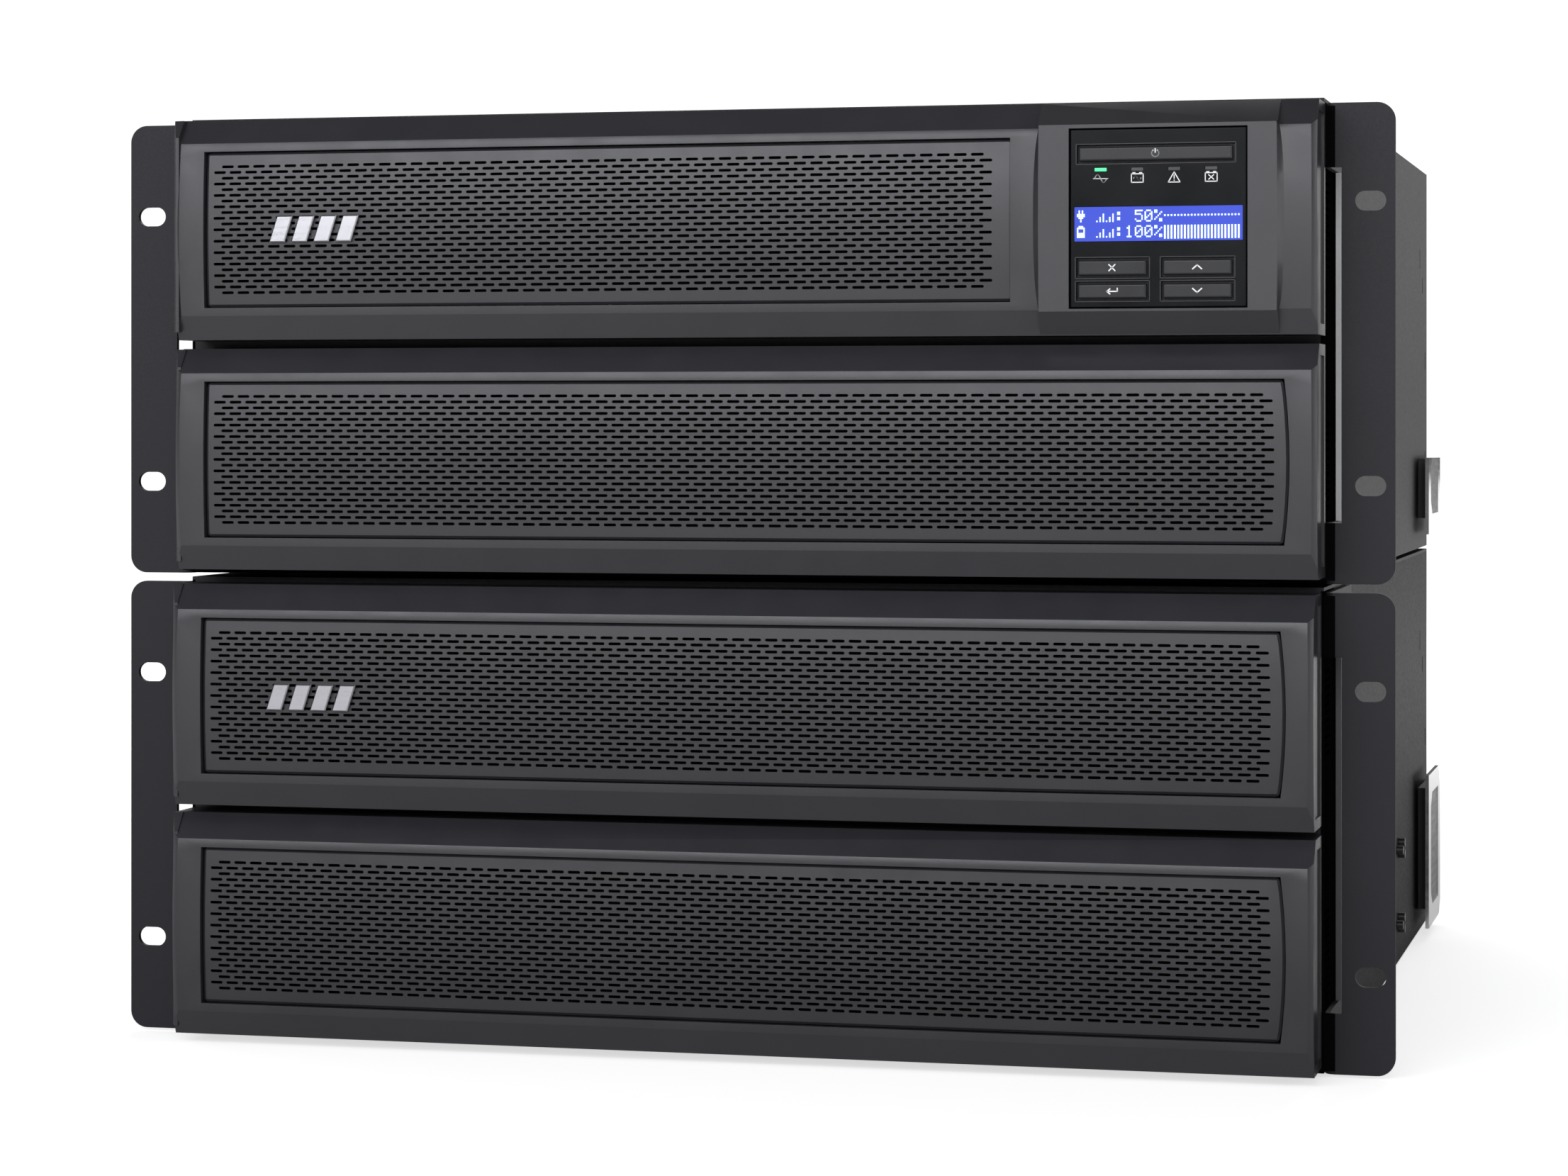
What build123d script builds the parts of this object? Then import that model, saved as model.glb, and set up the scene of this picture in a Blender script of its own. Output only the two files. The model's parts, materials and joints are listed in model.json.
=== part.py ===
"""Rack-mount uninterruptible power supply: a four-unit UPS standing on its matching battery pack.

Frame: millimetres, +Z up, +Y from the front panel to the rear, X across the rack. The origin is the
bottom centre of the whole stack.
"""
from build123d import *
import os

os.makedirs("parts", exist_ok=True)

# ---------------------------------------------------------------- driving dimensions
rack_width = 482.6          # across the rack ears
chassis_width = 432.0
chassis_depth = 449.0
chassis_height = 173.3      # four rack units less the stacking clearance
sheet = 1.2                 # steel sheet of the chassis
pad_height = 1.54           # rubber pads under each chassis
rear_reach = 456.6          # from the ear face back to the tip of the breaker toggle
front_reach = 30.2          # from the ear face forward to the display console
ear_y = (front_reach - rear_reach) / 2      # front face of the rack ears
slot_span_x = 465.1
slot_span_z = 101.6

ear_thickness = 2.0
ear_height = 171.65
ear_flange_depth = 78.0
ear_corner = 6.5
slot_length = 11.0
slot_height = 7.2

bezel_width = 428.0
bezel_height = 83.0
bezel_front = ear_y - 27.0
bezel_back = ear_y - 0.4
bezel_wall = 2.4
bezel_low = 2.2             # lower bezel above the chassis floor
bezel_pitch = 86.2
face_low = 9.0              # flat front face, measured from the bezel's lower edge
face_high = 73.7
face_crown = 1.3            # the face is slightly convex from its lower to its upper edge
chamfer_top_depth = 7.5
chamfer_low_depth = 3.0
facet_mid = 1.8             # side facets: narrow in the middle, wide at the ends
facet_end = 4.0
facet_depth = 3.0
facet_spread = 5.2

window_half = 202.5         # recess around the grille insert
window_low = 12.0
window_high = 70.6
window_bulge = 2.0          # the right end of the recess bows outwards
insert_gap = 0.8
insert_low = 12.7
insert_high = 69.9
insert_thickness = 2.0
insert_setback = 1.6
window_end_short = 107.4    # right end of the recess beside the display

console_front = ear_y - front_reach
console_x = (118.2, 202.7)
console_bow = 3.2

half = chassis_width / 2
inner = half - sheet
rear_y = ear_y + chassis_depth
base_pack = pad_height
base_ups = pad_height + chassis_height + pad_height
bezel_shift_ups = 2.5       # the bezels sit a little to the right of the chassis centre
bezel_shift_pack = 1.2
shelf_z = 86.0
bay_half = 196.0
module_half = 195.0
module_height = 76.0
rail_height = 4.5


# ---------------------------------------------------------------- helpers
def slab(x, y, z, mode=Mode.ADD):
    """A block between the two ends of each range."""
    with Locations(((x[0] + x[1]) / 2, (y[0] + y[1]) / 2, (z[0] + z[1]) / 2)):
        Box(x[1] - x[0], y[1] - y[0], z[1] - z[0], mode=mode)


def slabs(centres, size, mode=Mode.ADD):
    """Equal blocks at many centres, in one operation."""
    with Locations(*centres):
        Box(*size, mode=mode)


def rod(x, y, z, radius, mode=Mode.ADD):
    """A round bar along Y between the two ends of y."""
    with Locations(Location((x, (y[0] + y[1]) / 2, z), (90, 0, 0))):
        Cylinder(radius, y[1] - y[0], mode=mode)


def side_rod(x, y, z, radius, mode=Mode.ADD):
    """A round bar along X between the two ends of x."""
    with Locations(Location(((x[0] + x[1]) / 2, y, z), (0, 90, 0))):
        Cylinder(radius, x[1] - x[0], mode=mode)


def front_plane(y, z=0.0):
    """A sketch plane that faces the front: its x is X, its y is Z, extruding towards the front."""
    return Plane(origin=(0, y, z), x_dir=(1, 0, 0), z_dir=(0, -1, 0))


def save(part, label):
    part.label = label
    export_step(part, f"parts/{label}.step")


# ---------------------------------------------------------------- chassis
louver_rows = 11
louver_pitch = 2.95
louver_groups = (27.0, 113.5)
louver_y = ear_y + 11.5
louver_length = 17.0
ear_screw_z = (14.0, 62.0, 110.0, 158.0)
ear_screw_y = ear_y + 64.0
side_slots = ((411.0, 128.0, 9.0), (425.0, 117.0, 7.0), (440.0, 82.0, 8.0), (440.0, 35.0, 9.0))
cover_screw_y = (12.0, 150.0, 290.0, 437.0)
stud_places = ((303.0, 48.8), (303.0, 16.6))


def chassis(prefix, base):
    """Folded steel tray: floor and two sides, with cooling louvers behind the ears."""
    with BuildPart() as tray:
        slab((-half, half), (ear_y, rear_y), (base, base + chassis_height - sheet))
        slab((-inner, inner), (ear_y - 1, rear_y + 1), (base + sheet, base + 200), Mode.SUBTRACT)
        for x in (-160.0, 160.0):
            slab((x - 10, x + 10), (ear_y + 4, ear_y + 240), (base + sheet, base + sheet + rail_height))
        rows = [base + low + row * louver_pitch for low in louver_groups for row in range(louver_rows)]
        slabs([(0, louver_y, z) for z in rows], (chassis_width + 2, louver_length, 1.5), Mode.SUBTRACT)
        for y, z, length in side_slots:
            slab((-half - 1, half + 1), (ear_y + y - 1, ear_y + y + 1),
                 (base + z, base + z + length), Mode.SUBTRACT)
        for z in ear_screw_z:
            side_rod((-half - 1, half + 1), ear_screw_y, base + z, 1.8, Mode.SUBTRACT)
    save(tray.part, f"{prefix}_chassis_tray")


def top_cover(prefix, base):
    """Flat lid screwed on top of the tray."""
    top = base + chassis_height
    with BuildPart() as lid:
        slab((-half, half), (ear_y, rear_y), (top - sheet, top))
        for y in cover_screw_y:
            for x in (-190.0, 190.0):
                with Locations((x, ear_y + y, top - sheet / 2)):
                    Cylinder(2.2, sheet, mode=Mode.SUBTRACT)
    save(lid.part, f"{prefix}_top_cover")


def shelf(prefix, base, rails):
    """Sheet that divides the chassis into an upper and a lower tier."""
    low = base + shelf_z
    with BuildPart() as plate:
        slab((-inner, inner), (ear_y + sheet, rear_y - sheet), (low, low + sheet))
        slab((-inner, -inner + sheet), (ear_y + sheet, rear_y - sheet), (low - 8, low))
        slab((inner - sheet, inner), (ear_y + sheet, rear_y - sheet), (low - 8, low))
        if rails:
            for x in (-160.0, 160.0):
                slab((x - 10, x + 10), (ear_y + 4, ear_y + 240), (low + sheet, low + sheet + rail_height))
    save(plate.part, f"{prefix}_shelf")


peg_x = 206.0
peg_z = (6.0, 77.0)


def front_frame(prefix, base, bays, shift):
    """Chassis front panel with battery bays, air slots and holes for the bezel pegs."""
    with BuildPart() as panel:
        slab((-inner, inner), (ear_y, ear_y + sheet), (base + sheet, base + chassis_height - sheet))
        for low in bays:
            slab((-bay_half, bay_half), (ear_y - 1, ear_y + 2), (base + low, base + low + 78), Mode.SUBTRACT)
        if len(bays) == 1:
            centres = [(-177 + column * 32, ear_y, base + 99 + row * 10) for column in range(9) for row in range(7)]
            slabs(centres, (26, 4, 6), Mode.SUBTRACT)
        for level in range(2):
            for x in (shift - peg_x, shift + peg_x):
                for z in peg_z:
                    rod(x, (ear_y - 1, ear_y + 2), base + bezel_low + level * bezel_pitch + z, 3.0,
                        Mode.SUBTRACT)
    save(panel.part, f"{prefix}_front_frame")


def stacking_pads():
    """Four thin rubber pads under the floor of each chassis."""
    with BuildPart() as feet:
        with Locations(*[(x, ear_y + y, base - pad_height / 2) for base in (base_pack, base_ups)
                         for x in (-180.0, 180.0) for y in (30.0, 415.0)]):
            Cylinder(12.0, pad_height)
    save(feet.part, "stacking_pads")


# ---------------------------------------------------------------- rack ears
notch_z = (21.5, 148.5)
notch_depth = 32.0
notch_reach = 6.3


def ear(prefix, side, base):
    """Folded rack ear: slotted front flange, bend, and a side flange with an air window."""
    low = base - 0.2
    outer = rack_width / 2
    with BuildPart() as bracket:
        with BuildSketch(Plane.XY.offset(low)) as section:
            with BuildLine():
                Polyline((half, ear_y + ear_flange_depth), (half, ear_y), (outer, ear_y),
                         (outer, ear_y + ear_thickness),
                         (half + ear_thickness, ear_y + ear_thickness),
                         (half + ear_thickness, ear_y + ear_flange_depth), close=True)
            make_face()
            bend_outer = section.vertices().sort_by_distance((half, ear_y, low))[0]
            fillet(bend_outer, radius=4.0)
            bend_inner = section.vertices().sort_by_distance(
                (half + ear_thickness, ear_y + ear_thickness, low))[0]
            fillet(bend_inner, radius=1.6)
        extrude(amount=ear_height)
        corners = bracket.edges().filter_by(Axis.Y).sort_by(Axis.X)[-2:]
        fillet(corners, radius=ear_corner)
        slab((half - 1, half + notch_reach), (ear_y - 1, ear_y + notch_depth),
             (base + notch_z[0], base + notch_z[1]), Mode.SUBTRACT)
        middle = low + ear_height / 2
        for z in (middle - slot_span_z / 2, middle + slot_span_z / 2):
            with BuildSketch(front_plane(ear_y + 4, z)):
                with Locations((slot_span_x / 2, 0)):
                    SlotOverall(slot_length, slot_height)
            extrude(amount=6, mode=Mode.SUBTRACT)
        for z in ear_screw_z:
            side_rod((half - 1, half + 4), ear_screw_y, base + z, 1.8, Mode.SUBTRACT)
    piece = bracket.part if side == "right" else mirror(bracket.part, about=Plane.YZ)
    save(piece, f"{prefix}_ear_{side}")


def case_screws():
    """Ear screws, lid screws, the ground stud and the hex studs on the pack's sides."""
    with BuildPart() as screws:
        for base in (base_pack, base_ups):
            for sign in (-1, 1):
                for z in ear_screw_z:
                    inside = sorted((sign * (half - 4), sign * (half + ear_thickness)))
                    outside = sorted((sign * (half + ear_thickness), sign * (half + ear_thickness + 1.8)))
                    side_rod(inside, ear_screw_y, base + z, 1.6)
                    side_rod(outside, ear_screw_y, base + z, 3.4)
            with Locations(*[(x, ear_y + y, base + chassis_height - 2) for x in (-190.0, 190.0)
                             for y in cover_screw_y]):
                Cylinder(2.0, 4.0)
        rod(60.0, (rear_y - 8, rear_y + 6), base_ups + 40.0, 2.0)
        rod(60.0, (rear_y, rear_y + 2.5), base_ups + 40.0, 4.5)
        for sign in (-1, 1):
            for y, z in stud_places:
                for dy, dz in ((0, 2.2), (-8, -0.3), (0, -2.6)):
                    x = sorted((sign * half, sign * (half + 2.6)))
                    side_rod(x, ear_y + y + dy, base_pack + z + dz, 1.9)
    save(screws.part, "case_screws")


# ---------------------------------------------------------------- bezels and grilles
def bowed_face(plane, left, right, low, high, bow_left, bow_right):
    """Rectangle on a plane whose left and right sides bow outwards by the given amounts."""
    middle = (low + high) / 2
    with BuildSketch(plane) as outline:
        with BuildLine():
            Line((left, low), (right, low))
            if bow_right:
                ThreePointArc((right, low), (right + bow_right, middle), (right, high))
            else:
                Line((right, low), (right, high))
            Line((right, high), (left, high))
            if bow_left:
                ThreePointArc((left, high), (left - bow_left, middle), (left, low))
            else:
                Line((left, high), (left, low))
        make_face()
    return outline.sketch.face()


def facet_envelope(shift, low):
    """Space that the bezel fills: it cuts the bowed facets along both sides of the front face."""
    side = bezel_width / 2 - facet_end
    lead = face_crown * facet_spread / facet_depth
    bow = facet_end - facet_mid + lead
    top = bezel_height + 1
    narrow = bowed_face(front_plane(bezel_front - face_crown, low), shift - side + lead, shift + side - lead,
                        -1, top, bow, bow)
    wide = bowed_face(front_plane(bezel_front + facet_depth, low), shift - side - facet_spread,
                      shift + side + facet_spread, -1, top, bow, bow)
    with BuildPart() as envelope:
        loft(sections=[narrow, wide], ruled=True)
        slab((shift - side - 9, shift + side + 9), (bezel_front + facet_depth, ear_y + 5),
             (low - 1, low + top))
    return envelope.part


def console_block(low):
    """Raised block around the display, bowed at both sides and sloped into the chamfers."""
    reach = 12.0
    base_y = bezel_front - 0.2
    front = bowed_face(front_plane(console_front - 0.1, low), console_x[0], console_x[1],
                       face_low - 1, face_high + 1, 0.1, 0.1)
    back = bowed_face(front_plane(base_y, low), console_x[0] - 0.4, console_x[1] + 0.4,
                      face_low - 1, face_high + 1, console_bow, console_bow)
    with BuildPart() as sides:
        loft(sections=[front, back], ruled=True)
        extrude(back, amount=-10)
        slab((console_x[0] - 0.4, console_x[1] + 0.4), (console_front - 0.1, base_y + 10),
             (low - 1, low + face_low - 1))
        slab((console_x[0] - 0.4, console_x[1] + 0.4), (console_front - 0.1, base_y + 10),
             (low + face_high + 1, low + bezel_height + 1))
    with BuildPart() as block:
        with BuildSketch(Plane(origin=(console_x[0] - reach, 0, low), x_dir=(0, 1, 0), z_dir=(1, 0, 0))):
            with BuildLine():
                Polyline((bezel_front + 6, 2.0), (bezel_front + chamfer_low_depth - 0.6, 0.6),
                         (console_front, 8.4), (console_front, 74.6),
                         (bezel_front + chamfer_top_depth, bezel_height),
                         (bezel_front + 9.4, bezel_height - 2), close=True)
            make_face()
        extrude(amount=console_x[1] - console_x[0] + 2 * reach)
        add(sides.part, mode=Mode.INTERSECT)
    return block.part


def bezel(label, shift, low, console):
    """One bezel with its grille recess, air window, side recesses, hollow back and four pegs."""
    side = bezel_width / 2
    right_end = window_end_short if console else shift + window_half
    bulge = 0.0 if console else window_bulge
    envelope = facet_envelope(shift, low)
    recess = bowed_face(front_plane(bezel_front - 3, low), shift - window_half, right_end,
                        window_low, window_high, 0.0, bulge)
    block = console_block(low) if console else None
    seat = bezel_front + insert_setback + insert_thickness
    with BuildPart() as shell:
        with BuildSketch(Plane(origin=(shift - side, 0, low), x_dir=(0, 1, 0), z_dir=(1, 0, 0))):
            with BuildLine():
                Polyline((bezel_front, face_high), (bezel_front + chamfer_top_depth, bezel_height),
                         (bezel_back, bezel_height), (bezel_back, 0), (bezel_front + chamfer_low_depth, 0),
                         (bezel_front, face_low))
                ThreePointArc((bezel_front, face_low), (bezel_front - face_crown, (face_low + face_high) / 2),
                              (bezel_front, face_high))
            make_face()
        extrude(amount=bezel_width)
        add(envelope, mode=Mode.INTERSECT)
        if console:
            add(block)
        slab((shift - side + bezel_wall, shift + side - bezel_wall), (bezel_front + 9.5, bezel_back + 1),
             (low + bezel_wall, low + bezel_height - bezel_wall), Mode.SUBTRACT)
        slab((shift - side + 8, shift + side - 8), (seat + 0.6, bezel_back + 1),
             (low + face_low + 2, low + face_high - 2), Mode.SUBTRACT)
        extrude(recess, amount=-(insert_setback + insert_thickness + 5), mode=Mode.SUBTRACT)
        for sign in (-1, 1):
            outside = sorted((shift + sign * side, shift + sign * (side - 0.9)))
            slab(outside, (bezel_front + 5.5, bezel_back - 3.2), (low + 4, low + bezel_height - 4),
                 Mode.SUBTRACT)
        if console:
            slab((display_x[0] - 0.4, display_x[1] + 0.4), (console_front - 1, bezel_back + 1),
                 (low + display_z[0] - 0.4, low + display_z[1] + 0.4), Mode.SUBTRACT)
        for x in (shift - peg_x, shift + peg_x):
            for z in peg_z:
                rod(x, (bezel_front + 8, ear_y + 3.5), low + z, 2.5)
    save(shell.part, label)


def grille(label, shift, low, console):
    """Grille insert: a plate with a raised rim line that fills the bezel's window."""
    right_end = window_end_short - insert_gap if console else shift + window_half - insert_gap
    bulge = 0.0 if console else window_bulge
    back = bezel_front + insert_setback + insert_thickness
    outline = bowed_face(front_plane(back, low), shift - window_half + insert_gap, right_end,
                         insert_low, insert_high, 0.0, bulge)
    front = back - insert_thickness
    with BuildPart() as crowned:
        with BuildSketch(Plane(origin=(shift - window_half, 0, low), x_dir=(0, 1, 0), z_dir=(1, 0, 0))):
            with BuildLine():
                Polyline((front, insert_high), (back, insert_high), (back, insert_low), (front, insert_low))
                ThreePointArc((front, insert_low), (front - face_crown, (insert_low + insert_high) / 2),
                              (front, insert_high))
            make_face()
        extrude(amount=2 * window_half + 5)
    with BuildPart() as plate:
        extrude(outline, amount=insert_thickness + face_crown + 1)
        corners = plate.edges().filter_by(Axis.Y)
        fillet(corners, radius=1.6)
        add(crowned.part, mode=Mode.INTERSECT)
        for x in (shift - window_half, right_end - 6):
            slab((x + 3, x + 7), (back, back + 0.6), (low + 20, low + 60))
    save(plate.part, label)


badge_bars = 4
badge_width = 34.8
badge_height = 9.8
badge_lean = 3.2
badge_start = -176.2


def badge(label, shift, z):
    """Plain badge: four slanted bright bars, standing on the grille."""
    face = bezel_front + insert_setback - face_crown
    pitch = badge_width / badge_bars
    with BuildPart() as bars:
        with BuildSketch(front_plane(face, z)):
            for bar in range(badge_bars):
                x = shift + badge_start + bar * pitch
                with BuildLine():
                    Polyline((x, 0), (x + pitch - 2.6, 0), (x + pitch - 2.6 + badge_lean, badge_height),
                             (x + badge_lean, badge_height), close=True)
                make_face()
        extrude(amount=1.8)
        chamfer(bars.faces().filter_by(Axis.Y).group_by(Axis.Y)[0].edges(), length=0.4)
    save(bars.part, label)


# ---------------------------------------------------------------- display module
display_x = (129.4, 192.1)
display_z = (9.7, 72.9)
fascia_y = ear_y - 29.2
fascia_back = fascia_y + 2.0
power_x = (132.6, 187.2)
power_z = (61.6, 66.6)
key_columns = ((132.3, 156.7), (162.6, 186.9))
key_rows = ((21.1, 26.5), (12.9, 18.1))
key_margin = 0.7
key_names = (("key_back", "key_up"), ("key_enter", "key_down"))
lamp_x = (140.3, 153.4, 166.5, 179.6)
lamp_z = 58.6
lcd_x = (130.9, 190.7)
lcd_z = (33.2, 45.4)


def display(low):
    """Display module of the UPS: housing, fascia, screen, board, lamps and five buttons."""
    wall = 1.5
    with BuildPart() as housing:
        slab(display_x, (fascia_back, ear_y - 4), (low + display_z[0], low + display_z[1]))
        slab((display_x[0] + wall, display_x[1] - wall), (fascia_back - 1, ear_y - 4 - wall),
             (low + display_z[0] + wall, low + display_z[1] - wall), Mode.SUBTRACT)
        rod(160.0, (ear_y - 4 - wall - 1, ear_y), low + 41, 9.0, Mode.SUBTRACT)
    save(housing.part, "display_housing")

    with BuildPart() as fascia:
        slab(display_x, (fascia_y, fascia_back), (low + display_z[0], low + display_z[1]))
        slab((power_x[0] - key_margin, power_x[1] + key_margin), (fascia_y - 1, fascia_back + 1),
             (low + power_z[0] - key_margin, low + power_z[1] + key_margin), Mode.SUBTRACT)
        for column in key_columns:
            for row in key_rows:
                slab((column[0] - key_margin, column[1] + key_margin), (fascia_y - 1, fascia_back + 1),
                     (low + row[0] - key_margin, low + row[1] + key_margin), Mode.SUBTRACT)
        slab(lcd_x, (fascia_y - 1, fascia_back + 1), (low + lcd_z[0], low + lcd_z[1]), Mode.SUBTRACT)
        for x in lamp_x:
            slab((x - 2.1, x + 2.1), (fascia_y - 1, fascia_back + 1),
                 (low + lamp_z - 0.55, low + lamp_z + 0.55), Mode.SUBTRACT)
        chamfer(fascia.faces().sort_by(Axis.Y)[0].outer_wire().edges(), length=0.3)
    save(fascia.part, "display_fascia")

    with BuildPart() as screen:
        slab(lcd_x, (fascia_y + 0.3, fascia_back), (low + lcd_z[0], low + lcd_z[1]))
    save(screen.part, "display_screen")
    with BuildPart() as lamps:
        for x in lamp_x:
            slab((x - 2.1, x + 2.1), (fascia_y + 0.1, fascia_back + 3), (low + lamp_z - 0.55, low + lamp_z + 0.55))
    save(lamps.part, "display_lamps")
    with BuildPart() as board:
        slab((display_x[0] + wall, display_x[1] - wall), (ear_y - 14, ear_y - 12.4),
             (low + display_z[0] + wall, low + display_z[1] - wall))
        for x, z, size in ((145, 50, 9), (170, 52, 6), (150, 30, 12), (175, 30, 7)):
            slab((x - size / 2, x + size / 2), (ear_y - 12.4, ear_y - 10.4), (low + z - size / 2, low + z + size / 2))
    save(board.part, "display_board")

    key(power_x, power_z, low, "power_button")
    for row, names in zip(key_rows, key_names):
        for column, name in zip(key_columns, names):
            key(column, row, low, name)


def key(x, z, low, label):
    """Push key: domed cap with a stem that reaches back towards the board."""
    with BuildPart() as cap:
        slab(x, (fascia_y - 0.9, fascia_back + 0.3), (low + z[0], low + z[1]))
        fillet(cap.faces().sort_by(Axis.Y)[0].edges(), radius=0.7)
        slab((x[0] - 1.2, x[1] + 1.2), (fascia_back + 0.3, fascia_back + 1.1), (low + z[0] - 1.2, low + z[1] + 1.2))
        rod((x[0] + x[1]) / 2, (fascia_back + 1.1, ear_y - 16), low + (z[0] + z[1]) / 2, 1.5)
    save(cap.part, label)


# ---------------------------------------------------------------- side grips and studs
grip_y = (387.0, 452.0)
grip_gap = 4.4


grip_rows = ((base_ups + 6.8, base_ups + 41.0, True), (base_pack + 3.3, base_pack + 72.5, False))


def side_grips():
    """Bright framed grip plates that stand off the chassis sides near the rear, and their blocks."""
    front = ear_y + grip_y[0]
    back = ear_y + grip_y[1]
    with BuildPart() as blocks:
        for low, high, open_top in grip_rows:
            for sign in (-1, 1):
                x = sorted((sign * half, sign * (half + grip_gap)))
                slab(x, (ear_y + 402, ear_y + 447), (low + 7, high - (0 if open_top else 7)))
    save(blocks.part, "grip_blocks")
    plane = Plane(origin=(half + grip_gap, 0, 0), x_dir=(0, 1, 0), z_dir=(1, 0, 0))
    with BuildPart() as frames:
        for low, high, open_top in grip_rows:
            corner = () if open_top else ((back - 9, high),)
            side_top = high if open_top else high - 10
            with BuildSketch(plane):
                with BuildLine():
                    Polyline((front, low), (back - 7, low), (back, low + 6), (back, side_top), *corner,
                             (front, high), close=True)
                make_face()
            extrude(amount=1.6)
            ceiling = high + 1 if open_top else high - 9
            with BuildSketch(plane.offset(0.9)):
                with BuildLine():
                    Polyline((front + 12, low + 15), (front + 20, low + 9), (back - 12, low + 9),
                             (back - 12, ceiling), (front + 20, ceiling), (front + 12, ceiling - 6),
                             close=True)
                make_face()
            extrude(amount=2, mode=Mode.SUBTRACT)
        mirror(about=Plane.YZ)
    save(frames.part, "grip_frames")


# ---------------------------------------------------------------- battery modules
def battery(label, base, low, depth):
    """Sealed battery module with a face plate and a pull handle."""
    z = base + low + 1
    with BuildPart() as pack:
        slab((-module_half, module_half), (ear_y + 0.6, ear_y + 1.8), (z, z + module_height))
        slab((-module_half + 2, module_half - 2), (ear_y + 1.8, ear_y + depth), (z, z + module_height - 2))
        for x in (-97.0, 0.0, 97.0):
            slab((x - 1, x + 1), (ear_y + 6, ear_y + depth + 1), (z + module_height - 3, z + 80), Mode.SUBTRACT)
        for x in (-45.0, 45.0):
            slab((x - 5, x + 5), (ear_y - 12, ear_y + 0.6), (z + 32, z + 44))
        slab((-50, 50), (ear_y - 16, ear_y - 12), (z + 32, z + 44))
    save(pack.part, label)


# ---------------------------------------------------------------- rear fittings
def rear_panel(prefix, base, holes, rounds, vents):
    """Rear panel sheet with openings for the fittings."""
    with BuildPart() as panel:
        slab((-inner, inner), (rear_y - sheet, rear_y), (base + sheet, base + chassis_height - sheet))
        for x, z, wide, tall in holes:
            slab((x - wide / 2, x + wide / 2), (rear_y - 3, rear_y + 1),
                 (base + z - tall / 2, base + z + tall / 2), Mode.SUBTRACT)
        for x, z, radius in rounds:
            rod(x, (rear_y - 3, rear_y + 1), base + z, radius, Mode.SUBTRACT)
        for x, z, width, rows in vents:
            centres = [(x, rear_y, base + z + (row - (rows - 1) / 2) * 8) for row in range(rows)]
            slabs(centres, (width, 4, 4), Mode.SUBTRACT)
    save(panel.part, f"{prefix}_rear_panel")


def socket(x, z, wide, tall, well_wide, well_tall, flange_x=2.0, flange_z=2.0):
    """Socket body: flange on the panel, body through it and an open well."""
    slab((x - wide / 2 - flange_x, x + wide / 2 + flange_x), (rear_y, rear_y + 2),
         (z - tall / 2 - flange_z, z + tall / 2 + flange_z))
    slab((x - wide / 2 + 0.3, x + wide / 2 - 0.3), (rear_y - 22, rear_y), (z - tall / 2 + 0.3, z + tall / 2 - 0.3))
    slab((x - well_wide / 2, x + well_wide / 2), (rear_y - 16, rear_y + 3),
         (z - well_tall / 2, z + well_tall / 2), Mode.SUBTRACT)


outlet_columns = (20.0, 55.0, 90.0, 125.0)
outlet_rows = (112.0, 142.0)
outlet_size = (28.0, 24.0)
large_outlets = ((172.0, 142.0), (172.0, 108.0))
large_size = (32.0, 27.0)
inlet_place = (172.0, 52.0)
inlet_size = (34.0, 29.0)
breaker_places = ((112.0, 62.0), (136.0, 62.0))
breaker_radius = 5.0
fan_places = ((-164.0, 129.0), (-76.0, 129.0))
fan_size = 80.0
card_place = (-24.0, 62.0)
card_size = (44.0, 84.0)
link_place = (-150.0, 44.0)
link_size = (64.0, 30.0)
pack_link_places = ((-150.0, 44.0), (-150.0, 130.0))
pack_port_places = ((-80.0, 44.0, 17.0, 14.0), (-80.0, 76.0, 17.0, 14.0))
port_places = ((-80.0, 30.0, 14.0, 12.0), (-80.0, 54.0, 17.0, 14.0), (-80.0, 76.0, 31.0, 12.0))
port_window_x = -80.0
port_window_z = (23.5, 84.5)
port_borders = (21.5, 42.0, 65.0, 86.5)


def blade_contacts(x, z, wide, tall):
    """Three flat contacts inside an outlet or an inlet."""
    slab((x - 1, x + 1), (rear_y - 16, rear_y - 4), (z + tall * 0.2, z + tall * 0.2 + 4.5))
    for side in (-1, 1):
        centre = x + side * wide * 0.22
        slab((centre - 1, centre + 1), (rear_y - 16, rear_y - 4), (z - tall * 0.28, z - tall * 0.28 + 4.5))


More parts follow.
